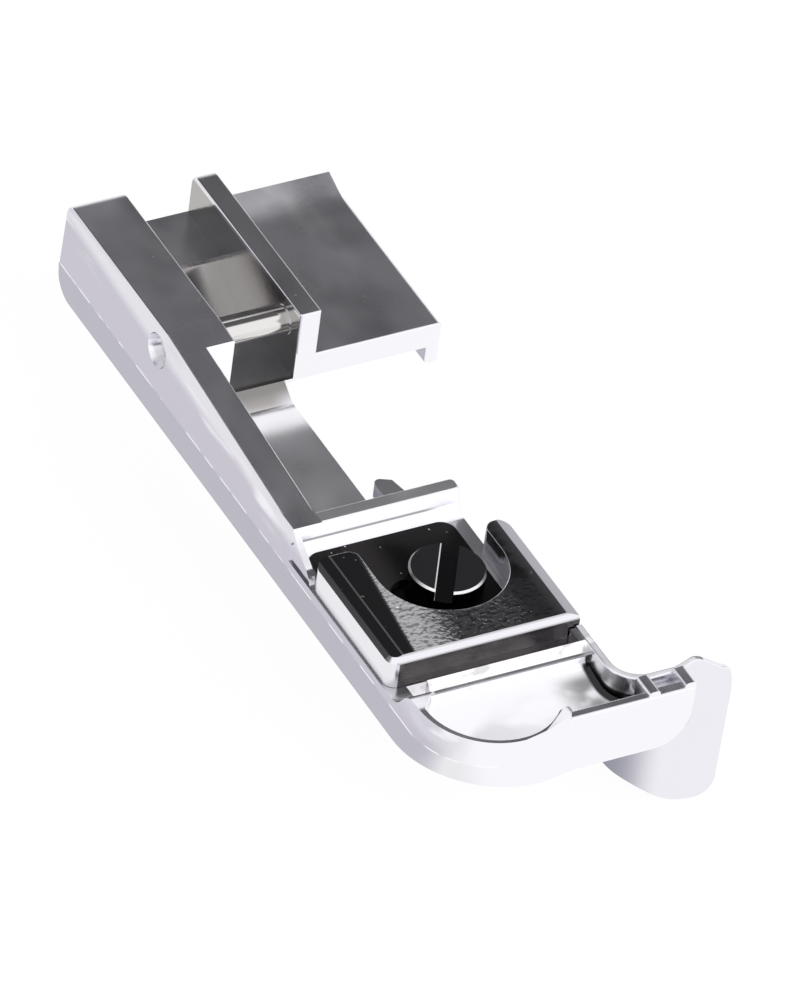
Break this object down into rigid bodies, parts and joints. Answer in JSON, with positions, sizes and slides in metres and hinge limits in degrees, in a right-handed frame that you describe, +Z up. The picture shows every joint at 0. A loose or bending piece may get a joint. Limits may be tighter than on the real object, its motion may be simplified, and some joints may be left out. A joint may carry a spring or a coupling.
{
  "type": "sewing machine presser foot",
  "caption": "Clip-on overlock presser foot with long left rail, needle bay, scooped toe, hanging side fin and a sliding tape guide clamped by a slotted screw.",
  "frame": {"origin": "axis of the snap pin, in the middle of the gap between its two walls", "axes": "+X across the foot to the right, along the pin; +Y along the foot to the machine's rear; +Z up"},
  "size_m": [0.0262, 0.0661, 0.0171],
  "materials": {
    "plated_casting": "satin chrome plate over a die casting",
    "pin_steel": "ground and polished",
    "black_plating": "glossy black plate with a fine orange-peel grain on top",
    "blackened_steel": "blackened, satin"
  },
  "bodies": {
    "casting": {"foot_body": "plated_casting", "snap_pin": "pin_steel"},
    "guide": {"tape_guide": "black_plating"},
    "screw": {"clamp_screw": "blackened_steel"}
  },
  "joints": [
    {"name": "guide_slide", "type": "slide", "parent": "casting", "child": "guide", "axis": [1, 0, 0], "range_m": [0, 0.0028]},
    {"name": "screw_turn", "type": "hinge", "parent": "casting", "child": "screw", "pos_m": [0.00165, -0.03055, -0.0005], "axis": [0, 0, 1], "range_deg": [0, 360]}
  ]
}
